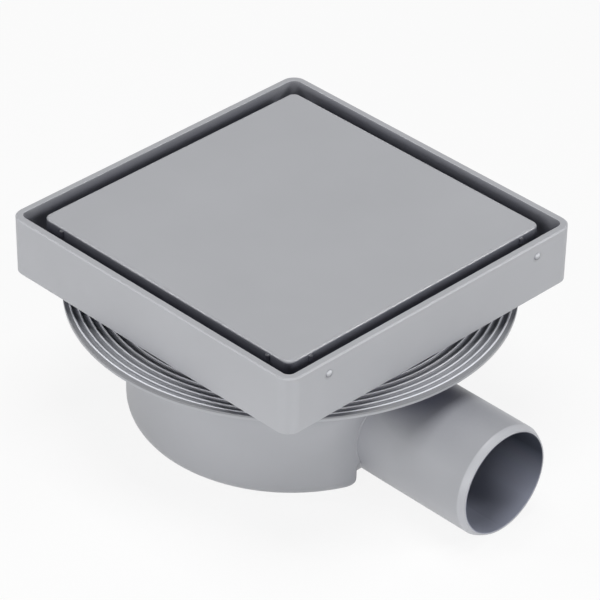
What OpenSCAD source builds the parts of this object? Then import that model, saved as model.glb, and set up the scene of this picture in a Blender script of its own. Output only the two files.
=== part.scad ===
// Gully trap: a low round pot with a ribbed sealing flange and a horizontal outlet spigot, a square
// tile tray on an adjustable neck, a solid cover and a lift-out water trap. Millimetres, +Z up.
// The origin is on the pot's axis at the underside of its base, and the outlet points along +X.

/* [Pot] */
// Outer radius of the pot
pot_r = 69.3; // [67:0.1:76]
// Thickness of the pot's wall and floor
pot_wall = 2.6; // [2:0.1:3.4]
// Outer rounding of the pot's bottom edge
pot_round = 8.8; // [5:0.2:12]

/* [Outlet] */
// Outer radius of the outlet spigot's straight end
outlet_r = 24.9; // [20:0.1:25.2]
// Wall of the outlet spigot
outlet_wall = 2.4; // [1.8:0.1:3]
// Distance from the pot's axis to the spigot's end
outlet_reach = 123.8; // [122:0.2:170]
// Height of the spigot's underside above the base
outlet_lift = 0.1; // [0.1:0.1:2]
// Length of the spigot's straight end, which a pipe socket slides over
socket_len = 48; // [40:1:48]
// How much slimmer the spigot is at the pot's axis than at its straight end
outlet_draft = 0.4; // [0.3:0.1:0.8]
// Length of the bevel on the spigot's end
bevel_len = 3; // [2:0.1:6]
// Depth of that bevel
bevel_depth = 1.5; // [0.8:0.1:1.7]
// Rounding of the pot's foot behind the scoop under the spigot
scoop_r = 22; // [14:1:24]
// How far that rounded foot lies inside the pot's wall
scoop_depth = 3.2; // [1:0.2:5]
// How far the scoop's sides lie inside the spigot's sides
scoop_inset = 0.2; // [0.2:0.1:3]
// Rounding of the pot's foot along both sides of the scoop
scoop_edge = 7; // [4:0.5:9]

/* [Flange] */
// Outer radius of the sealing flange
flange_r = 95.1; // [90:0.1:110]
// Height of the flange's top face above the base
flange_z = 60; // [58:0.5:75]
// Thickness of the flange beside the pot
flange_t = 1.8; // [1.4:0.1:3]
// Thickness of the flange at its outer edge
flange_edge_t = 0.95; // [0.8:0.05:1.4]
// Height of the ribs on the flange
rib_h = 0.9; // [0.6:0.1:1.4]
// Width of each rib
rib_w = 0.8; // [0.6:0.1:1.2]
// Distance from one rib to the next
rib_pitch = 3.1; // [2.6:0.1:4]
// Number of ribs inside the flange's edge ridge
rib_count = 7; // [3:1:7]
// Distance from the flange's edge to the outermost rib
rib_margin = 2.3; // [2:0.1:4]
// Width of the ridge along the flange's edge
edge_w = 0.95; // [0.8:0.05:1.2]
// Height of the collar round the pot's mouth
collar_h = 2.5; // [1.5:0.1:3]
// Rounding under the flange where it meets the pot
root_r = 3; // [1:0.5:5]

/* [Tray] */
// Side of the square tray at its rim
tray_side = 165; // [160:1:200]
// Height of the tray's sides
tray_h = 26.8; // [24:0.2:40]
// Wall of the tray
tray_wall = 3.2; // [2.4:0.1:4]
// Radius of the tray's upright corners
tray_corner = 6.6; // [4.5:0.1:10]
// How far each side leans in from rim to foot
tray_draft = 0.26; // [0.1:0.02:1]
// Thickness of the tray's floor
tray_floor = 3.4; // [3:0.1:5]
// Fall of the tray's floor towards its drain opening
tray_fall = 1.1; // [0.6:0.1:1.2]
// Width of the band over which that floor falls
fall_w = 17.6; // [10:0.1:18]
// Gap between the flange's top face and the tray's underside
tray_rise = 6.7; // [6.5:0.1:9]
// Bevel along the rim's outer edge
tray_bevel = 0.5; // [0.3:0.1:1]
// Bevel along the tray's foot
foot_bevel = 0.2; // [0.1:0.1:0.8]
// Radius of the round pips on the tray's sides
pip_r = 1.5; // [1:0.1:2.5]
// How far the pips stand out
pip_out = 0.7; // [0.4:0.1:1]
// Distance of the pips from the tray's middle
pip_y = 60.2; // [40:0.2:70]
// Depth of the pips below the rim
pip_drop = 6.2; // [4:0.1:12]

/* [Neck] */
// Length of the neck below the tray
neck_len = 21; // [20:0.5:22]
// Gap between the neck's guide collars and the pot's mouth
neck_gap = 1.5; // [0.8:0.1:2]
// Wall of the neck
neck_wall = 2.5; // [2:0.1:3]
// Depth of the seal's groove
groove_depth = 3; // [2.5:0.1:4]
// Thickness of the two collars that hold the seal
guide_t = 1.6; // [1.2:0.1:2]
// Height of the neck seal
seal_h = 4; // [3:0.1:5]
// Distance from the tray's underside to the seal
seal_drop = 10; // [9:0.5:11]
// Width of the ledge that carries the trap
ledge_w = 5.2; // [4:0.1:7]
// Thickness of that ledge
ledge_t = 2.2; // [1.6:0.1:3]

/* [Cover] */
// Slot between the tray's wall and the cover
slot_w = 6.7; // [5:0.1:9]
// How far the cover's top lies below the rim
cover_drop = 0.7; // [0:0.1:3]
// Thickness of the cover's top
cover_t = 2.6; // [2:0.1:4]
// Thickness of the cover's skirt
skirt_t = 2.4; // [2:0.1:3]
// Height of the cover, with its skirt
skirt_h = 13; // [9:0.5:16]
// Radius of the cover's upright corners
cover_corner = 3.6; // [2.6:0.1:8]
// Rounding along the cover's top edge
cover_round = 1.1; // [0.6:0.1:1.6]
// Thickness of the ribs and legs under the cover
cover_rib_t = 1.8; // [1.4:0.1:2.4]
// Depth of the ribs under the cover's top
cover_rib_h = 7; // [4:0.5:8]
// Width of the crossed legs
leg_w = 8; // [6:0.5:9]
// Distance of the legs from the cover's middle lines
leg_xy = 60; // [59:0.5:62]
// How far the spacer nubs stand out from the skirt
nub_out = 0.8; // [0.4:0.1:1.2]
// Height of the spacer nubs
nub_h = 2.6; // [1.5:0.1:4]
// Distance of the nubs from the middle of each side
nub_xy = 60.8; // [50:0.2:64]
// Depth of the nubs below the cover's top
nub_drop = 1.4; // [1.2:0.1:4]

/* [Strainer] */
// Thickness of the strainer
strainer_t = 1.5; // [1.2:0.1:1.6]
// Width of the seat under the strainer's edge
strainer_seat = 2.7; // [2:0.1:3]
// Radius of the strainer's holes
strainer_hole_r = 2.6; // [1.5:0.1:3]
// Distance between the rings of holes
strainer_pitch = 9.4; // [8:0.2:9.6]
// Number of rings of holes
strainer_rings = 5; // [3:1:5]

/* [Trap] */
// Thickness of the rubber ring under the funnel's flange
ring_d = 3; // [2.4:0.1:4]
// Wall of the funnel and of the cup
trap_wall = 2; // [1.6:0.1:2.6]
// Inner radius of the dip tube
dip_r = 22; // [18:0.5:24]
// Fall of the funnel from its flange to the dip tube
funnel_fall = 9.5; // [7:0.5:11]
// Inner radius of the cup
cup_r = 38; // [36:0.5:42]
// Outer rounding of the cup's bottom edge
cup_round = 5; // [3:0.5:8]
// Gap between the pot's floor and the cup
cup_lift = 4.9; // [4.4:0.1:7]
// Gap between the cup's floor and the dip tube's end
dip_gap = 5.5; // [5:0.1:8]
// Depth of water that the trap holds above the dip tube's end
water_seal = 22; // [20:0.5:24]
// Height of the sleeve that holds the cup on the dip tube
sleeve_h = 12; // [8:0.5:13]
// Number of webs between the sleeve and the cup
web_count = 4; // [3:1:6]
// Thickness of each web
web_t = 2; // [1.4:0.1:3]

/* [Fits] */
// Gap between pieces that turn or slide on each other
fit_gap = 0.3; // [0.2:0.05:0.4]
// Gap between pieces that only rest on each other
rest_gap = 0.05; // [0.02:0.01:0.1]

/* [Hidden] */
$fn = 96;
over = 1; // how far a cut runs past the face it opens

mouth_r = pot_r - pot_wall;
outlet_bore = outlet_r - outlet_wall;
outlet_z = outlet_lift + outlet_r;
scoop_x = pot_r - scoop_depth - scoop_r;
collar_z = flange_z + collar_h;

tray_z = flange_z + tray_rise;
rim_z = tray_z + tray_h;
floor_z = tray_z + tray_floor;
tray_inner = tray_side - 2 * tray_wall;

neck_r = mouth_r - neck_gap;
neck_tube_r = neck_r - groove_depth;
neck_bore = neck_tube_r - neck_wall;
neck_z = tray_z - neck_len;
ledge_z = neck_z + ledge_t;
seal_z = tray_z - seal_drop - seal_h;

strainer_r = neck_bore + strainer_seat;
strainer_z = floor_z - tray_fall - strainer_t;

cover_side = tray_inner - 2 * slot_w;
cover_z = rim_z - cover_drop;
cover_under = cover_z - cover_t;

ring_z = ledge_z + rest_gap + ring_d / 2;
ring_r = neck_bore - fit_gap - ring_d / 2;
funnel_z = ledge_z + ring_d + 2 * rest_gap;
cup_z = pot_wall + cup_lift;
dip_z = cup_z + trap_wall + dip_gap;
cup_top = dip_z + water_seal;
sleeve_r = dip_r + trap_wall + fit_gap;
sleeve_z = cup_top - sleeve_h - trap_wall;

grey_pot = [0.64, 0.645, 0.665];
grey_tray = [0.675, 0.68, 0.7];
grey_trap = [0.78, 0.79, 0.8];
black_rubber = [0.09, 0.09, 0.1];

// Half outline of a round vessel with a rounded bottom edge, from its axis out to radius r.
module vessel_outline(r, edge, bottom, top) {
    translate([0, bottom]) square([r - edge, top - bottom]);
    translate([0, bottom + edge]) square([r, top - bottom - edge]);
    translate([r - edge, bottom + edge]) circle(edge);
}

// Square plate outline with round corners.
module round_square(side, corner) {
    square([side, side - 2 * corner], center = true);
    square([side - 2 * corner, side], center = true);
    for (x = [-1, 1], y = [-1, 1]) {
        translate([x, y] * (side / 2 - corner)) circle(corner);
    }
}

// Solid on a round-cornered square. Its child is half of its upright section, from the middle out
// to $reach, and the same section is swept straight along the sides and turned round the corners.
module swept_square(side, corner) {
    middle = side / 2 - corner;
    for (turn = [0, 90]) {
        rotate([90, 0, turn])
            linear_extrude(2 * middle, center = true)
                let ($reach = side / 2) {
                    children();
                    mirror([1, 0]) children();
                }
    }
    for (x = [-1, 1], y = [-1, 1]) {
        translate([x * middle, y * middle, 0])
            rotate_extrude()
                let ($reach = corner) children();
    }
}

// ---- Pot, flange and outlet in one moulding ----

module rib_outline(r) {
    translate([r - rib_w / 2, flange_z - over / 2]) square([rib_w, over / 2 + rib_h - rib_w / 2]);
    translate([r, flange_z + rib_h - rib_w / 2]) circle(rib_w / 2);
}

module flange_outline() {
    slope_start = flange_r - rib_margin - rib_pitch;
    polygon([
        [mouth_r, flange_z - flange_t],
        [slope_start, flange_z - flange_t],
        [flange_r, flange_z - flange_edge_t],
        [flange_r, flange_z + rib_h],
        [flange_r - edge_w, flange_z + rib_h],
        [flange_r - edge_w, flange_z],
        [mouth_r, flange_z]
    ]);
    for (i = [0 : rib_count - 1]) {
        rib_outline(flange_r - rib_margin - i * rib_pitch);
    }
}

module flange_root_outline() {
    difference() {
        translate([pot_r - over, flange_z - flange_t - root_r]) square([over + root_r, root_r + over / 2]);
        translate([pot_r + root_r, flange_z - flange_t - root_r]) circle(root_r);
    }
}

// What is cut from the foot under the spigot. The foot stays rounded at the scoop's back and along
// both its sides, and depth is how far inside the pot's outer faces the cut is wanted.
module scoop(depth = 0) {
    side = outlet_r - scoop_inset + depth;
    edge = scoop_edge - depth;
    intersection() {
        rotate([90, 0, 0])
            linear_extrude(2 * (side + edge + over), center = true)
                difference() {
                    translate([scoop_x, -over]) square([pot_r, scoop_r + over]);
                    translate([scoop_x, scoop_r]) circle(scoop_r - depth);
                }
        rotate([90, 0, 90])
            linear_extrude(2 * pot_r) {
                translate([-side, -over]) square([2 * side, scoop_r + 2 * over]);
                difference() {
                    translate([-side - edge, -over]) square([2 * (side + edge), scoop_edge + over]);
                    for (y = [-1, 1]) {
                        translate([y * (side + edge), scoop_edge]) circle(edge);
                    }
                }
            }
    }
}

module outlet_outside() {
    bevel_x = outlet_reach - bevel_len;
    straight_x = bevel_x - socket_len;
    knee_x = bevel_x + bevel_len / 3; // the bevel starts shallow and steepens here
    knee_r = outlet_r - bevel_depth / 4;
    translate([0, 0, outlet_z]) rotate([0, 90, 0]) {
        cylinder(r1 = outlet_r - outlet_draft, r2 = outlet_r, h = straight_x);
        translate([0, 0, straight_x]) cylinder(r = outlet_r, h = socket_len);
        translate([0, 0, bevel_x]) cylinder(r1 = outlet_r, r2 = knee_r, h = knee_x - bevel_x);
        translate([0, 0, knee_x])
            cylinder(r1 = knee_r, r2 = outlet_r - bevel_depth, h = outlet_reach - knee_x);
    }
}

module pot_inside() {
    difference() {
        rotate_extrude() vessel_outline(mouth_r, pot_round - pot_wall, pot_wall, collar_z + over);
        scoop(pot_wall);
    }
}

module body() {
    lead_in = 1; // bevel at the mouth that guides the seal in
    color(grey_pot)
    difference() {
        union() {
            difference() {
                rotate_extrude() {
                    vessel_outline(pot_r, pot_round, 0, collar_z);
                    flange_outline();
                    flange_root_outline();
                }
                scoop();
            }
            outlet_outside();
        }
        pot_inside();
        translate([scoop_x, 0, outlet_z])
            rotate([0, 90, 0])
                cylinder(r = outlet_bore, h = outlet_reach - scoop_x + over);
        translate([0, 0, collar_z - lead_in])
            cylinder(r1 = mouth_r, r2 = mouth_r + lead_in, h = lead_in);
    }
}

// ---- Rubber ring round the neck, with two lips ----

module neck_seal() {
    low = seal_z + rest_gap;
    high = seal_z + seal_h - rest_gap;
    inner = neck_tube_r + rest_gap;
    outer = mouth_r - fit_gap;
    lip = (high - low) / 5;
    color(black_rubber)
    rotate_extrude()
        polygon([
            [inner, low],
            [neck_r, low],
            [outer, low + lip],
            [outer, low + 1.5 * lip],
            [neck_r, low + 2.2 * lip],
            [neck_r, high - 2.2 * lip],
            [outer, high - 1.5 * lip],
            [outer, high - lip],
            [neck_r, high],
            [inner, high]
        ]);
}

// ---- Square tray with its neck ----

module tray_outside() {
    swept_square(tray_side, tray_corner)
        polygon([
            [0, tray_z],
            [$reach - tray_draft - foot_bevel, tray_z],
            [$reach - tray_draft, tray_z + foot_bevel],
            [$reach, rim_z - tray_bevel],
            [$reach - tray_bevel, rim_z],
            [0, rim_z]
        ]);
}

module tray_hollow() {
    translate([0, 0, floor_z])
        linear_extrude(tray_h)
            round_square(tray_inner, tray_corner - tray_wall);
    translate([0, 0, floor_z - tray_fall])
        cylinder(r1 = strainer_r, r2 = strainer_r + fall_w, h = tray_fall);
    translate([0, 0, strainer_z]) cylinder(r = strainer_r + fit_gap, h = tray_floor);
    translate([0, 0, ledge_z]) cylinder(r = neck_bore, h = neck_len + tray_floor);
    translate([0, 0, neck_z - over]) cylinder(r = neck_bore - ledge_w, h = neck_len);
}

module neck_outside() {
    groove_low = seal_z;
    groove_high = seal_z + seal_h;
    flare = groove_depth;
    rotate_extrude()
        polygon([
            [0, neck_z],
            [neck_tube_r, neck_z],
            [neck_tube_r, groove_low - guide_t],
            [neck_r, groove_low - guide_t],
            [neck_r, groove_low],
            [neck_tube_r, groove_low],
            [neck_tube_r, groove_high],
            [neck_r, groove_high],
            [neck_r, groove_high + guide_t],
            [neck_tube_r, groove_high + guide_t],
            [neck_tube_r, tray_z - flare],
            [neck_r, tray_z],
            [neck_r, tray_z + over],
            [0, tray_z + over]
        ]);
}

// A shallow dome on each of the two faces across the outlet, at both ends.
module tray_pips() {
    ball = (pip_r * pip_r + pip_out * pip_out) / (2 * pip_out);
    pip_x = tray_side / 2 - tray_draft * pip_drop / tray_h + pip_out - ball;
    for (x = [-1, 1], y = [-1, 1]) {
        translate([x * pip_x, y * pip_y, rim_z - pip_drop])
            rotate([0, x * 90, 0])
                intersection() {
                    sphere(ball);
                    cylinder(r = pip_r + over, h = ball);
                }
    }
}

module frame() {
    color(grey_tray)
    union() {
        difference() {
            union() {
                tray_outside();
                neck_outside();
            }
            tray_hollow();
        }
        tray_pips();
    }
}

// ---- Cover: square plate with a skirt, crossed ribs and crossed legs ----

module cover_shell() {
    foot = cover_z - skirt_h;
    swept_square(cover_side, cover_corner) {
        translate([0, foot]) square([$reach, skirt_h - cover_round]);
        translate([0, foot]) square([$reach - cover_round, skirt_h]);
        translate([$reach - cover_round, cover_z - cover_round]) circle(cover_round);
    }
}

module cover_hollow() {
    translate([0, 0, cover_z - skirt_h - over])
        linear_extrude(skirt_h - cover_t + over)
            round_square(cover_side - 2 * skirt_t, max(cover_corner - skirt_t, 0.2));
}

module cover_ribs() {
    reach = cover_side - skirt_t;
    for (turn = [0, 90]) {
        rotate([0, 0, turn])
            translate([-reach / 2, -cover_rib_t / 2, cover_under - cover_rib_h])
                cube([reach, cover_rib_t, cover_rib_h + cover_t / 2]);
    }
}

module cover_legs() {
    foot = floor_z + rest_gap;
    for (x = [-1, 1], y = [-1, 1], turn = [0, 90]) {
        translate([x * leg_xy, y * leg_xy, foot])
            rotate([0, 0, turn])
                translate([-leg_w / 2, -cover_rib_t / 2, 0])
                    cube([leg_w, cover_rib_t, cover_under - foot + cover_t / 2]);
    }
}

module cover_nubs() {
    nub_r = 1.2 * nub_out;
    for (turn = [0 : 90 : 270], x = [-1, 1]) {
        rotate([0, 0, turn])
            translate([x * nub_xy, nub_out - nub_r - cover_side / 2, cover_z - nub_drop - nub_h])
                mirror([0, 1, 0])
                    cylinder(r = nub_r, h = nub_h);
    }
}

module cover_plate() {
    color(grey_tray)
    union() {
        difference() {
            cover_shell();
            cover_hollow();
        }
        cover_ribs();
        cover_legs();
        cover_nubs();
    }
}

// ---- Strainer in the drain opening ----

module hair_strainer() {
    color(grey_trap)
    difference() {
        translate([0, 0, strainer_z + rest_gap]) cylinder(r = strainer_r, h = strainer_t);
        translate([0, 0, strainer_z - over]) {
            cylinder(r = strainer_hole_r, h = strainer_t + 2 * over);
            for (ring = [1 : strainer_rings], i = [0 : 6 * ring - 1]) {
                rotate([0, 0, i * 60 / ring])
                    translate([ring * strainer_pitch, 0, 0])
                        cylinder(r = strainer_hole_r, h = strainer_t + 2 * over, $fn = 24);
            }
        }
    }
}

// ---- Lift-out trap: funnel with dip tube, its rubber ring and the cup ----

module trap_funnel() {
    slack = 0.2; // more room round the funnel's flange than round its ring
    flange_out = neck_bore - fit_gap - slack;
    flange_in = ring_r - ring_d;
    throat_z = funnel_z - funnel_fall;
    bead = 0.8; // snap bead that the cup's sleeve sits on
    color(grey_trap)
    rotate_extrude()
        polygon([
            [dip_r, dip_z],
            [dip_r + trap_wall, dip_z],
            [dip_r + trap_wall, sleeve_z - 2.5 * bead],
            [dip_r + trap_wall + bead, sleeve_z - 1.5 * bead],
            [dip_r + trap_wall + bead, sleeve_z - rest_gap],
            [dip_r + trap_wall, sleeve_z - rest_gap],
            [dip_r + trap_wall, throat_z],
            [flange_in, funnel_z],
            [flange_out, funnel_z],
            [flange_out, funnel_z + trap_wall],
            [flange_in, funnel_z + trap_wall],
            [dip_r, throat_z + trap_wall]
        ]);
}

module trap_seal() {
    color(black_rubber)
    translate([0, 0, ring_z])
        rotate_extrude()
            translate([ring_r, 0]) circle(ring_d / 2);
}

module trap_cup() {
    color(grey_trap)
    union() {
        difference() {
            rotate_extrude() vessel_outline(cup_r + trap_wall, cup_round, cup_z, cup_top);
            rotate_extrude() vessel_outline(cup_r, cup_round - trap_wall, cup_z + trap_wall, cup_top + over);
        }
        translate([0, 0, sleeve_z])
            difference() {
                union() {
                    cylinder(r = sleeve_r + trap_wall, h = sleeve_h);
                    for (i = [0 : web_count - 1]) {
                        rotate([0, 0, (i + 0.5) * 360 / web_count])
                            translate([sleeve_r, -web_t / 2, 0])
                                cube([cup_r + trap_wall / 2 - sleeve_r, web_t, sleeve_h]);
                    }
                }
                translate([0, 0, -over]) cylinder(r = sleeve_r, h = sleeve_h + 2 * over);
            }
    }
}

body();
neck_seal();
frame();
cover_plate();
hair_strainer();
trap_funnel();
trap_seal();
trap_cup();
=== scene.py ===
"""Looks of the gully trap: grey satin mouldings on a plain pale floor, in soft studio light.

Lengths are in metres and the axes are the CAD part's: +X along the outlet, +Z up from the base.
"""

import math

import bpy
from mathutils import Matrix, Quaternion, Vector


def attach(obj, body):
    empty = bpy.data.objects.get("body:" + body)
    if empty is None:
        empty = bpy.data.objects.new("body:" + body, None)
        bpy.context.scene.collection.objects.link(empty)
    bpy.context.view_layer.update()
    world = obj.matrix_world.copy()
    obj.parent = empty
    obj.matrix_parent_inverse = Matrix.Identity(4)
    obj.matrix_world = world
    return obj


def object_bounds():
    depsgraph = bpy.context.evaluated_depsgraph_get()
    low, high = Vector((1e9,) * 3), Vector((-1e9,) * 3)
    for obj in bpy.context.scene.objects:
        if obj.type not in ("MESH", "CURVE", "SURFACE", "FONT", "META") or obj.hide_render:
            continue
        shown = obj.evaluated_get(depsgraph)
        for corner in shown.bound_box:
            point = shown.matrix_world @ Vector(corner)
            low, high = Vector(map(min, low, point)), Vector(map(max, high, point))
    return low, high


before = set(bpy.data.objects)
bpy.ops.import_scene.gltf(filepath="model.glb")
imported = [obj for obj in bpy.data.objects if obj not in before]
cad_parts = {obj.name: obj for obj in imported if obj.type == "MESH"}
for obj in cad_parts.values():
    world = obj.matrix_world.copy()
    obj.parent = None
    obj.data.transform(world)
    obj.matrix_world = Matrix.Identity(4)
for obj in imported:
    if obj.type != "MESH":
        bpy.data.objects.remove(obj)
cad_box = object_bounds()

MM = 0.001


# ---- Sizes of the solids, which the looks follow ----

POT_R = 69.3 * MM
FLANGE_R = 95.1 * MM
FLANGE_TOP = 60 * MM
FLANGE_EDGE_T = 0.95 * MM
RIB_H = 0.9 * MM
RIB_W = 0.8 * MM
RIB_PITCH = 3.1 * MM
RIB_COUNT = 7
RIB_MARGIN = 2.3 * MM  # from the flange's edge to the middle of the outermost rib
RIDGE_R = FLANGE_R - 1.8 * MM  # between the ridge along the flange's edge and the first rib
OUTLET_Z = 25 * MM
OUTLET_ROOT_R = 24.95 * MM
BORE_R = 22.5 * MM
BEVEL_X = 120.8 * MM  # where the bevel of the spigot's mouth starts
COVER_HALF = 72.6 * MM
COVER_TOP = 92.8 * MM
PIP_X = 82.44 * MM
PIP_Y = 60.2 * MM
PIP_Z = 87.3 * MM


# ---- Sizes of the finer forms that are made here ----

PROUD = 0.06 * MM  # how far the flange's face lies outside the solid
SINK = 0.45 * MM  # how far its underside lies inside the solid
FACE_INSET = 0.4 * MM  # from the flange's edge to the end of that underside
FACE_LIFT = 0.02 * MM  # how far the ring's inner lower corner lies above the flange's underside
EDGE_LOOP = 0.12 * MM  # how far above its outer lower corner a loop keeps the shading crisp
SOFT_R = 0.22 * MM  # rounding of the valleys and of the flange's edge
CREST_H = 0.14 * MM  # how far the outermost rib stands above the others
FACE_STEPS = 540  # flats round the flange, few enough to stay light and too short to show
PIP_R = 1.65 * MM
PIP_OUT = 1.05 * MM
PIP_SINK = 0.2 * MM
PIP_RINGS, PIP_SPOKES = 10, 32
BEAD_R = 0.42 * MM
BEAD_SPOKES = 12
BEAD_TURN, BEAD_STEP = 112, 4  # degrees that the bead runs down each side, and between its points


# ---- Colours and surface of the materials ----

POT_GREY = (0.385, 0.392, 0.415)
TRAY_GREY = (0.415, 0.422, 0.445)
TRAP_GREY = (0.60, 0.61, 0.62)
RUBBER_BLACK = (0.022, 0.022, 0.024)
FLOOR_WHITE = (0.85, 0.85, 0.85, 1)
FLOOR_GLOW = 0.88  # share of the floor's white that doesn't depend on the lamps

# Painted shade: in narrow places plastic darkens towards this share of its colour.
DEEP_SHADE = (0.265, 0.27, 0.34)  # share of its colour that plastic keeps in the narrowest places
CLOSED = 0.25  # share of open space at which a place counts as the narrowest
# Painted highlight along edges, which are also smoother:
EDGE_R = 0.48 * MM
EDGE_TURN = (0.99, 0.90)  # cosines of the turn at which the edge highlight starts and is full
EDGE_HIGHLIGHT_GAIN = 1.42  # painted highlight: edges are this much paler
EDGE_ROUGH = 0.55  # and keep this share of their roughness
POLISHED_ROUGH = 0.5  # a polished zone keeps this share of its roughness
MATT_ROUGH = 0.4  # a matt zone has this much more roughness
SPECULAR = 0.45
MOTTLE = 0.03  # share by which the cloudy tone goes up and down
GLOSS_SPREAD = 0.05  # how far the roughness goes up and down
SHADER_SAMPLES = 8  # samples of the bevel and of the ambient occlusion
RUBBER_ROUGH = 0.7

# Scale, detail and roughness of each noise.
CLOUDS = (18.0, 3.0, 0.5)
GLOSS = (60.0, 4.0, 0.6)
GRAIN = (1800.0, 2.0, 0.5)
WAVES = (35.0, 1.0, 0.4)
BLOOM = (120.0, 5.0, 0.6)
CLOUD_RANGE = (0.3, 0.7)  # values of the noise between which its tone changes
BLOOM_GAIN = 1.8  # the dustiest rubber is this much paler

# Strength and depth of each bump.
GRAIN_BUMP = (0.5, 0.012 * MM)
WAVE_BUMP = (0.25, 0.15 * MM)
BLOOM_BUMP = (0.4, 0.03 * MM)


# ---- Where zones of painted shade, highlight or gloss start, and where they are full ----

POT_SHADE_Z = (37 * MM, 49 * MM)
ROOT_START_X = (60 * MM, 66 * MM)
ROOT_END_X = (82 * MM, 68 * MM)
ROOT_SHARE = 0.35  # the spigot's root gets this share of the upper part's painted shade
BORE_WALL_R = (BORE_R + 0.45 * MM, BORE_R + 0.15 * MM)
BORE_START_X = (60 * MM, 61 * MM)
BORE_TOP_RISE = (-8 * MM, 15 * MM)
BORE_LEAN = 0.5  # the bore's painted shade leans to its +Y side by this share
BEVEL_START_X = (BEVEL_X - 0.2 * MM, BEVEL_X + 0.4 * MM)
CREST_Z = (FLANGE_TOP + 0.7 * RIB_H, FLANGE_TOP + RIB_H)
RIDGE_Z = (FLANGE_TOP - 0.1 * MM, FLANGE_TOP + 0.35 * MM)
RIDGE_FADE_R = (RIDGE_R - 0.05 * MM, RIDGE_R + 0.05 * MM)
COVER_FACE_Z = (COVER_TOP - 0.04 * MM, COVER_TOP - 0.12 * MM)
COVER_SIDE_Z = (COVER_TOP - 1.5 * MM, COVER_TOP - 1.2 * MM)
BESIDE_COVER = (COVER_HALF + 0.02 * MM, COVER_HALF + 0.08 * MM)
PIP_SHADE_R = (PIP_R + 1.3 * MM, PIP_R + 0.1 * MM)
PIP_SHADE_Z = (PIP_Z + 0.8 * MM, PIP_Z - 0.8 * MM)
PIP_FOOT_Z = (PIP_Z + 0.2 * MM, PIP_Z - 0.8 * MM)
PIP_HEAD_Z = (PIP_Z + 0.3 * MM, PIP_Z + 0.9 * MM)


# ---- Floor, light and camera ----

FLOOR_HALF = 4.0
FLOOR_GAP = 0.1 * MM  # the floor lies this far below the base, so that the two don't coincide
SOFTBOX_REACH = 1.6  # from the middle of the object to each softbox
# Each softbox's name, its direction from the object, its width in metres and its power in watts.
SOFTBOXES = (
    ("overhead", (0.0, 0.0, 1.0), 0.9, 15.7),
    ("left", (-0.58, -0.66, 0.48), 0.3, 4.7),
    ("right", (0.75, 0.60, 0.42), 0.4, 9.3),
    ("front_left", (0.35, -0.90, 0.12), 0.9, 16.5),
    ("front_right", (0.95, -0.20, 0.15), 0.9, 4.7),
)
AZIMUTH, ELEVATION, ROLL = (math.radians(a) for a in (-45.02, 34.27, 0.91))
AIM = Vector((0.0161, -0.0105, cad_box[1].z - 0.0276))
DISTANCE = 1.547
LENS, SENSOR = 225.1, 36  # in millimetres, as the camera takes them
VIEW_END = 20


# ---- Shader helpers ----

def new_material(name):
    """An empty node material, its node tree and its output node."""
    material = bpy.data.materials.new(name)
    material.use_nodes = True
    tree = material.node_tree
    tree.nodes.clear()
    return material, tree, add(tree, "ShaderNodeOutputMaterial")


def add(tree, kind, **values):
    """Adds a shader node; values are its properties or the defaults of its input sockets."""
    node = tree.nodes.new(kind)
    for key, value in values.items():
        if key in node.inputs:
            node.inputs[key].default_value = value
        else:
            setattr(node, key, value)
    return node


def ramp(tree, value, start, end, low=0.0, high=1.0):
    """Value mapped from start..end to low..high, and held there outside."""
    reach = {"From Min": start, "From Max": end, "To Min": low, "To Max": high}
    node = add(tree, "ShaderNodeMapRange", **reach)
    tree.links.new(value, node.inputs["Value"])
    return node.outputs["Result"]


def calc(tree, operation, *values):
    """Result of a math node on sockets or numbers."""
    node = add(tree, "ShaderNodeMath", operation=operation)
    for socket, value in zip(node.inputs, values):
        if isinstance(value, float):
            socket.default_value = value
        else:
            tree.links.new(value, socket)
    return node.outputs["Value"]


def length(tree, *sockets):
    """Length of the vector that the sockets make."""
    joined = add(tree, "ShaderNodeCombineXYZ")
    for socket, value in zip(joined.inputs, sockets):
        tree.links.new(value, socket)
    norm = add(tree, "ShaderNodeVectorMath", operation="LENGTH")
    tree.links.new(joined.outputs["Vector"], norm.inputs[0])
    return norm.outputs["Value"]


def blend(tree, base, tone, share):
    """Base colour with a share of a second colour in it."""
    mix = add(tree, "ShaderNodeMix", data_type="RGBA")
    mix.inputs["B"].default_value = (*tone, 1)
    tree.links.new(share, mix.inputs["Factor"])
    tree.links.new(base, mix.inputs["A"])
    return mix.outputs["Result"]


def times(color, gain):
    """A colour scaled by one number or by three."""
    gains = gain if isinstance(gain, tuple) else (gain, gain, gain)
    return tuple(c * g for c, g in zip(color, gains))


def noise(tree, place, scale, detail, roughness):
    """Value of a noise texture at a place."""
    texture = add(tree, "ShaderNodeTexNoise", Scale=scale, Detail=detail, Roughness=roughness)
    tree.links.new(place, texture.inputs["Vector"])
    return texture.outputs["Fac"]


def bumped(tree, height, strength, depth, normal=None):
    """Normal of a surface that a height makes uneven, on top of another normal."""
    bump = add(tree, "ShaderNodeBump", Strength=strength, Distance=depth)
    tree.links.new(height, bump.inputs["Height"])
    if normal is not None:
        tree.links.new(normal, bump.inputs["Normal"])
    return bump.outputs["Normal"]


def mixed(tree, share, first, second, output):
    """Gives an output node the first shader with a share of the second one in it."""
    mix = add(tree, "ShaderNodeMixShader")
    tree.links.new(share, mix.inputs["Fac"])
    tree.links.new(first, mix.inputs[1])
    tree.links.new(second, mix.inputs[2])
    tree.links.new(mix.outputs["Shader"], output.inputs["Surface"])


def background_rays(tree):
    """1 for the rays that show the background: those of camera, gloss and transmission."""
    ray = add(tree, "ShaderNodeLightPath").outputs
    seen = calc(tree, "MAXIMUM", ray["Is Camera Ray"], ray["Is Glossy Ray"])
    return calc(tree, "MAXIMUM", seen, ray["Is Transmission Ray"])


# ---- Zones of painted shade, highlight or gloss: each one's share at the sockets x, y and z ----

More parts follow.
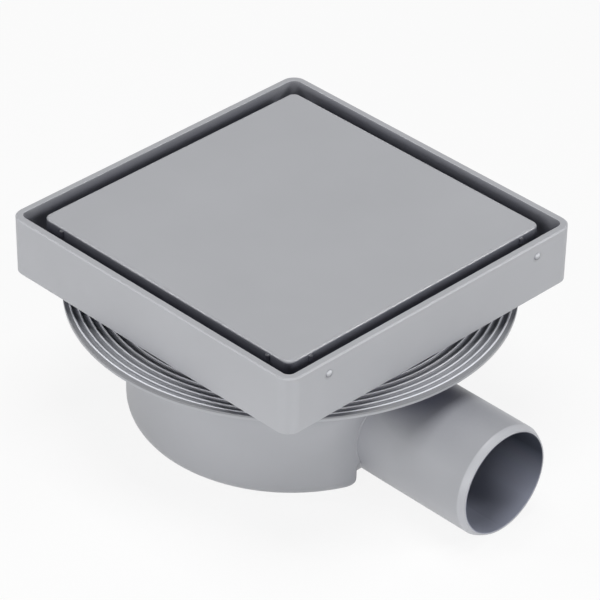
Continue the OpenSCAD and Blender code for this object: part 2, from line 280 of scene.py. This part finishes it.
def under_flange(tree, x, y, z):
    """Where painted shade may fall: the pot's upper part and, less, the spigot's root."""
    high = ramp(tree, z, *POT_SHADE_Z)
    root = ramp(tree, x, *ROOT_START_X)
    near = ramp(tree, x, *ROOT_END_X, 0.0, ROOT_SHARE)
    return calc(tree, "MAXIMUM", high, calc(tree, "MULTIPLY", root, near))


def in_bore(tree, x, y, z):
    """The spigot's bore, which gets painted shade."""
    off_axis = length(tree, y, calc(tree, "SUBTRACT", z, OUTLET_Z))
    inside = ramp(tree, off_axis, *BORE_WALL_R)
    return calc(tree, "MULTIPLY", inside, ramp(tree, x, *BORE_START_X))


def bore_top_shade(tree, x, y, z):
    """The upper part of the spigot's bore and its +Y side, which get more painted shade."""
    height = calc(tree, "SUBTRACT", z, OUTLET_Z)
    turned = calc(tree, "ADD", height, calc(tree, "MULTIPLY", y, BORE_LEAN))
    return calc(tree, "MULTIPLY", ramp(tree, turned, *BORE_TOP_RISE), in_bore(tree, x, y, z))


def mouth_bevel_highlight(tree, x, y, z):
    """The bevel at the spigot's mouth, which gets a painted highlight."""
    return ramp(tree, x, *BEVEL_START_X)


def rib_crest_highlight(tree, x, y, z):
    """Tops of the flange's ribs, without the ridge along its edge: a painted highlight."""
    ribs = ramp(tree, length(tree, x, y), *RIDGE_FADE_R[::-1])
    return calc(tree, "MULTIPLY", ramp(tree, z, *CREST_Z), ribs)


def flange_edge_shade(tree, x, y, z):
    """The ridge along the flange's edge, above its foot, which gets painted shade."""
    outer = ramp(tree, length(tree, x, y), *RIDGE_FADE_R)
    return calc(tree, "MULTIPLY", ramp(tree, z, *RIDGE_Z), outer)


def cover_rounding(tree, x, y, z):
    """The rounded edge of the cover, below its flat face."""
    return calc(tree, "MULTIPLY", ramp(tree, z, *COVER_FACE_Z), ramp(tree, z, *COVER_SIDE_Z))


def beside_cover_shade(tree, x, y, z):
    """What stands out of the cover's sides, painted dark as shade in the slot."""
    far = calc(tree, "MAXIMUM", calc(tree, "ABSOLUTE", x), calc(tree, "ABSOLUTE", y))
    return ramp(tree, far, *BESIDE_COVER)


def shade_round_pips(tree, x, y, z):
    """Painted shade on the tray's wall close round its pips, mostly below them."""
    across = calc(tree, "SUBTRACT", calc(tree, "ABSOLUTE", y), PIP_Y)
    off = length(tree, across, calc(tree, "SUBTRACT", z, PIP_Z))
    return calc(tree, "MULTIPLY", ramp(tree, z, *PIP_SHADE_Z), ramp(tree, off, *PIP_SHADE_R))


def pip_foot_shade(tree, x, y, z):
    """The lower side of a pip, which gets painted shade."""
    return ramp(tree, z, *PIP_FOOT_Z)


def pip_head_highlight(tree, x, y, z):
    """The upper side of a pip, which gets a painted highlight."""
    return ramp(tree, z, *PIP_HEAD_Z)


# ---- Materials ----

def moulded_plastic(
    name, color, roughness, reach=16, clear=0.85, shade=1.0, zones=(), painted_highlights=(),
    polished=None, matt=None,
):
    """Satin injection-moulded plastic: faint cloudy tone, fine spark-eroded grain, slow waviness.

    Edges get a painted highlight, paler, and are smoother. Places narrower than reach, in mm,
    get painted shade, up to the share given as shade, towards a bluish grey, where less than
    clear of the space round them is open. Each of zones is a gain on the colour and the function
    that gives its share; the gain "shade" limits the painted shade instead. The zones of the
    second list are painted highlights, on top of the painted shade. What the function polished
    gives is glossier, and what matt gives is duller.
    """
    material, tree, output = new_material(name)
    link = tree.links.new
    place = add(tree, "ShaderNodeTexCoord").outputs["Object"]
    parts = add(tree, "ShaderNodeSeparateXYZ")
    link(place, parts.inputs["Vector"])
    axes = tuple(parts.outputs)
    shader = add(tree, "ShaderNodeBsdfPrincipled", **{"Specular IOR Level": SPECULAR})

    tint = add(tree, "ShaderNodeVectorMath", operation="SCALE")
    tint.inputs[0].default_value = color
    cloud = ramp(tree, noise(tree, place, *CLOUDS), *CLOUD_RANGE, 1 - MOTTLE, 1 + MOTTLE)
    link(cloud, tint.inputs["Scale"])
    tone = tint.outputs["Vector"]

    # Painted highlight: edges are painted paler; the same mask makes them smoother.
    rounded = add(tree, "ShaderNodeBevel", samples=SHADER_SAMPLES, Radius=EDGE_R)
    surface = add(tree, "ShaderNodeNewGeometry")
    turn = add(tree, "ShaderNodeVectorMath", operation="DOT_PRODUCT")
    link(rounded.outputs["Normal"], turn.inputs[0])
    link(surface.outputs["Normal"], turn.inputs[1])
    edge = ramp(tree, turn.outputs["Value"], *EDGE_TURN)
    tone = blend(tree, tone, times(color, EDGE_HIGHLIGHT_GAIN), edge)

    # Painted shade: narrow places darken towards DEEP_SHADE, as far as the shade zones let them.
    narrow = add(
        tree, "ShaderNodeAmbientOcclusion", samples=SHADER_SAMPLES, Distance=reach * MM
    )
    painted_shade_share = ramp(tree, narrow.outputs["AO"], clear, CLOSED, 0.0, shade)
    for gain, zone in zones:
        if gain == "shade":
            painted_shade_share = calc(tree, "MULTIPLY", painted_shade_share, zone(tree, *axes))
        else:
            tone = blend(tree, tone, times(color, gain), zone(tree, *axes))
    tone = blend(tree, tone, times(color, DEEP_SHADE), painted_shade_share)
    # Painted highlights, on top of the painted shade.
    for gain, zone in painted_highlights:
        tone = blend(tree, tone, times(color, gain), zone(tree, *axes))
    link(tone, shader.inputs["Base Color"])

    spread = (roughness - GLOSS_SPREAD, roughness + GLOSS_SPREAD)
    rough = ramp(tree, noise(tree, place, *GLOSS), 0.0, 1.0, *spread)
    rough = calc(tree, "MULTIPLY", rough, ramp(tree, edge, 0.0, 1.0, 1.0, EDGE_ROUGH))
    if polished:
        keep = ramp(tree, polished(tree, *axes), 0.0, 1.0, 1.0, POLISHED_ROUGH)
        rough = calc(tree, "MULTIPLY", rough, keep)
    if matt:
        more = ramp(tree, matt(tree, *axes), 0.0, 1.0, 0.0, MATT_ROUGH)
        rough = calc(tree, "ADD", rough, more)
    link(rough, shader.inputs["Roughness"])

    wavy = bumped(tree, noise(tree, place, *WAVES), *WAVE_BUMP, rounded.outputs["Normal"])
    grainy = bumped(tree, noise(tree, place, *GRAIN), *GRAIN_BUMP, wavy)
    link(grainy, shader.inputs["Normal"])
    link(shader.outputs["BSDF"], output.inputs["Surface"])
    return material


def moulded_rubber(name, color):
    """Matt black rubber with a dusty bloom."""
    material, tree, output = new_material(name)
    link = tree.links.new
    place = add(tree, "ShaderNodeTexCoord").outputs["Object"]
    shader = add(tree, "ShaderNodeBsdfPrincipled", Roughness=RUBBER_ROUGH)
    bloom = noise(tree, place, *BLOOM)
    tone = add(tree, "ShaderNodeValToRGB")
    for element, gain in zip(tone.color_ramp.elements, (1.0, BLOOM_GAIN)):
        element.color = (*times(color, gain), 1)
    link(bloom, tone.inputs["Fac"])
    link(tone.outputs["Color"], shader.inputs["Base Color"])
    link(bumped(tree, bloom, *BLOOM_BUMP), shader.inputs["Normal"])
    link(shader.outputs["BSDF"], output.inputs["Surface"])
    return material


def pale_floor():
    """Near-white floor that keeps a light shadow of the object."""
    material, tree, output = new_material("pale_floor")
    lit = add(tree, "ShaderNodeBsdfDiffuse", Color=FLOOR_WHITE)
    glow = add(tree, "ShaderNodeEmission", Strength=1.0)
    share = calc(tree, "MULTIPLY", background_rays(tree), FLOOR_GLOW)
    mixed(tree, share, lit.outputs["BSDF"], glow.outputs["Emission"], output)
    return material


# Painted shade under the flange and in the bore, and a painted highlight on the mouth's bevel.
pot_plastic = moulded_plastic(
    "pot_plastic", POT_GREY, roughness=0.42, reach=60, clear=0.98, shade=0.95, matt=in_bore,
    zones=(
        ("shade", under_flange), (1.16, mouth_bevel_highlight),
        ((0.74, 0.77, 0.9), in_bore), ((0.05, 0.06, 0.09), bore_top_shade),
    ),
)
# Painted shade on the ridge along the flange's edge and painted highlights on the rib tops.
flange_plastic = moulded_plastic(
    "flange_plastic", POT_GREY, roughness=0.34, reach=14, shade=0.62,
    zones=((0.6, flange_edge_shade),), painted_highlights=((2.1, rib_crest_highlight),),
)
# Painted shade on the wall round the pips.
tray_plastic = moulded_plastic(
    "tray_plastic", TRAY_GREY, roughness=0.40, zones=((0.78, shade_round_pips),)
)
# Painted highlight on the pips' upper sides and painted shade on their lower sides.
pip_plastic = moulded_plastic(
    "pip_plastic", TRAY_GREY, roughness=0.14, reach=3,
    zones=((1.4, pip_head_highlight), (0.55, pip_foot_shade)),
)
# Painted shade on the nubs that stand out of the cover's sides.
cover_plastic = moulded_plastic(
    "cover_plastic", TRAY_GREY, roughness=0.38, polished=cover_rounding,
    zones=((0.2, beside_cover_shade),),
)
trap_plastic = moulded_plastic("trap_plastic", TRAP_GREY, roughness=0.35)
seal_rubber = moulded_rubber("seal_rubber", RUBBER_BLACK)

NODE_MATERIALS = {
    "body": pot_plastic,
    "frame": tray_plastic,
    "cover_plate": cover_plastic,
    "hair_strainer": trap_plastic,
    "trap_funnel": trap_plastic,
    "trap_cup": trap_plastic,
    "neck_seal": seal_rubber,
    "trap_seal": seal_rubber,
}
for node_name, material in NODE_MATERIALS.items():
    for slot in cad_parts[node_name].material_slots:
        slot.material = material


# ---- Mesh helpers ----

def meshed(name, verts, faces, material):
    """A smooth-shaded mesh object in the scene."""
    mesh = bpy.data.meshes.new(name)
    mesh.from_pydata(verts, [], faces)
    mesh.polygons.foreach_set("use_smooth", [True] * len(faces))
    mesh.materials.append(material)
    piece = bpy.data.objects.new(name, mesh)
    bpy.context.scene.collection.objects.link(piece)
    return piece


def arc(centre_r, centre_z, radius, start, end, steps):
    """Points of an arc in the r, z plane, with both ends; its angles are in degrees."""
    angles = (math.radians(start + (end - start) * i / steps) for i in range(steps + 1))
    return [(centre_r + radius * math.cos(a), centre_z + radius * math.sin(a)) for a in angles]


def revolved(name, section, steps, material):
    """Ring that a closed section of r, z points makes round the Z axis."""
    verts = []
    for i in range(steps):
        turn = 2 * math.pi * i / steps
        verts += [(r * math.cos(turn), r * math.sin(turn), z) for r, z in section]
    count = len(section)
    faces = []
    for i in range(steps):
        here, after = i * count, (i + 1) % steps * count
        for j in range(count):
            k = (j + 1) % count
            faces.append((here + j, after + j, after + k, here + k))
    return meshed(name, verts, faces, material)


def dome(name, middle, side, material):
    """A round-edged dome on a face across the X axis, sunk a little; side is 1 or -1."""
    rings, spokes = PIP_RINGS, PIP_SPOKES
    verts = [middle + Vector((side * PIP_OUT, 0, 0))]
    for i in range(1, rings + 2):
        slant = 0.5 * math.pi * min(i, rings) / rings
        out = PIP_OUT * math.cos(slant) if i <= rings else -PIP_SINK
        wide = PIP_R * math.sin(slant)
        for j in range(spokes):
            turn = 2 * math.pi * j / spokes
            offset = (side * out, wide * math.cos(turn), wide * math.sin(turn))
            verts.append(middle + Vector(offset))
    faces = []
    for j in range(spokes):
        after = (j + 1) % spokes
        faces.append((0, 1 + j, 1 + after))
        for i in range(rings):
            here, below = 1 + i * spokes, 1 + (i + 1) * spokes
            faces.append((here + j, below + j, below + after, here + after))
    faces.append(tuple(range(1 + rings * spokes, 1 + (rings + 1) * spokes))[::-1])
    if side < 0:
        faces = [face[::-1] for face in faces]
    return meshed(name, verts, faces, material)


def tube(name, path, radius, spokes, material):
    """A tube with closed ends along an open path of points."""
    verts = []
    for i, point in enumerate(path):
        ahead = (path[min(i + 1, len(path) - 1)] - path[max(i - 1, 0)]).normalized()
        first = ahead.cross(Vector((1, 0, 0))).normalized()
        second = ahead.cross(first)
        for j in range(spokes):
            turn = 2 * math.pi * j / spokes
            verts.append(point + radius * (math.cos(turn) * first + math.sin(turn) * second))
    faces = []
    for i in range(len(path) - 1):
        here, beyond = i * spokes, (i + 1) * spokes
        for j in range(spokes):
            k = (j + 1) % spokes
            faces.append((here + j, here + k, beyond + k, beyond + j))
    faces.append(tuple(range(spokes))[::-1])
    faces.append(tuple(range(len(verts) - spokes, len(verts))))
    return meshed(name, verts, faces, material)


# ---- Finely rounded face of the sealing flange ----

def flange_section():
    """Section of the flange's face as a thin closed ring, its underside inside the flange."""
    top = FLANGE_TOP + RIB_H + PROUD
    valley = FLANGE_TOP + PROUD
    outer = FLANGE_R + PROUD
    half = RIB_W / 2 + PROUD
    foot = FLANGE_TOP - FLANGE_EDGE_T
    points = [(outer, foot), (outer, foot + EDGE_LOOP)]
    points += arc(outer - SOFT_R, top - SOFT_R, SOFT_R, 0, 90, 6)
    for i in range(RIB_COUNT):
        middle = FLANGE_R - RIB_MARGIN - i * RIB_PITCH
        if i:
            points += arc(middle + half + SOFT_R, valley + SOFT_R, SOFT_R, 270, 180, 4)
            points += arc(middle, top - half, half, 0, 180, 14)
        else:  # no groove between the outermost rib and the edge
            points += arc(middle, top - half + CREST_H, half, 50, 180, 10)
        points += arc(middle - half - SOFT_R, valley + SOFT_R, SOFT_R, 360, 270, 4)
    under = FLANGE_TOP - SINK
    inset = FLANGE_R - FACE_INSET
    return points + [(POT_R, valley), (POT_R, under), (inset, under), (inset, foot + FACE_LIFT)]


flange_face = revolved("flange_face", flange_section(), FACE_STEPS, flange_plastic)
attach(flange_face, "gully")


# ---- Crisp pips on the tray and the bead round the spigot's root ----

def root_path():
    """The line on which the spigot's outside meets the pot's wall, down both its sides."""
    points = []
    for degrees in range(-BEAD_TURN, BEAD_TURN + 1, BEAD_STEP):
        turn = math.radians(degrees)
        y = OUTLET_ROOT_R * math.sin(turn)
        z = OUTLET_Z + OUTLET_ROOT_R * math.cos(turn)
        points.append(Vector((math.sqrt(POT_R ** 2 - y * y), y, z)))
    return points


for side in (-1, 1):
    for end in (-1, 1):
        pip = dome(
            f"pip_{'left' if side < 0 else 'right'}_{'front' if end < 0 else 'back'}",
            Vector((side * PIP_X, end * PIP_Y, PIP_Z)), side, pip_plastic,
        )
        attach(pip, "tray")

root_bead = tube("root_bead", root_path(), BEAD_R, BEAD_SPOKES, pot_plastic)
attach(root_bead, "gully")


# ---- Stage ----

def make_floor():
    """A wide plain floor just below the object."""
    z = cad_box[0].z - FLOOR_GAP
    corners = [(-1, -1), (1, -1), (1, 1), (-1, 1)]
    mesh = bpy.data.meshes.new("floor")
    mesh.from_pydata([(x * FLOOR_HALF, y * FLOOR_HALF, z) for x, y in corners], [], [(0, 1, 2, 3)])
    mesh.materials.append(pale_floor())
    floor = bpy.data.objects.new("floor", mesh)
    bpy.context.scene.collection.objects.link(floor)


def make_world():
    """White behind the object and no light on it, which comes from the softboxes alone."""
    world = bpy.data.worlds.new("studio")
    bpy.context.scene.world = world
    world.use_nodes = True
    tree = world.node_tree
    tree.nodes.clear()
    output = add(tree, "ShaderNodeOutputWorld")
    dark = add(tree, "ShaderNodeBackground", Strength=0.0).outputs["Background"]
    white = add(tree, "ShaderNodeBackground", Strength=1.0).outputs["Background"]
    mixed(tree, background_rays(tree), dark, white, output)


def softbox(name, direction, width, power):
    """A square area light that faces the middle of the object."""
    middle = (cad_box[0] + cad_box[1]) / 2
    data = bpy.data.lights.new(name, "AREA")
    data.size = width
    data.energy = power
    lamp = bpy.data.objects.new(name, data)
    lamp.location = middle + SOFTBOX_REACH * Vector(direction).normalized()
    lamp.rotation_mode = "QUATERNION"
    lamp.rotation_quaternion = (lamp.location - middle).to_track_quat("Z", "Y")
    bpy.context.scene.collection.objects.link(lamp)


def make_camera():
    """The photograph's viewpoint."""
    away = Vector((
        math.cos(ELEVATION) * math.cos(AZIMUTH),
        math.cos(ELEVATION) * math.sin(AZIMUTH),
        math.sin(ELEVATION),
    ))
    data = bpy.data.cameras.new("camera")
    data.sensor_width = SENSOR
    data.lens = LENS
    data.clip_end = VIEW_END
    camera = bpy.data.objects.new("camera", data)
    camera.location = AIM + away * DISTANCE
    camera.rotation_mode = "QUATERNION"
    camera.rotation_quaternion = away.to_track_quat("Z", "Y") @ Quaternion((0, 0, 1), ROLL)
    bpy.context.scene.collection.objects.link(camera)
    bpy.context.scene.camera = camera


make_floor()
make_world()
for softbox_values in SOFTBOXES:
    softbox(*softbox_values)
make_camera()
bpy.context.scene.view_settings.view_transform = "Standard"
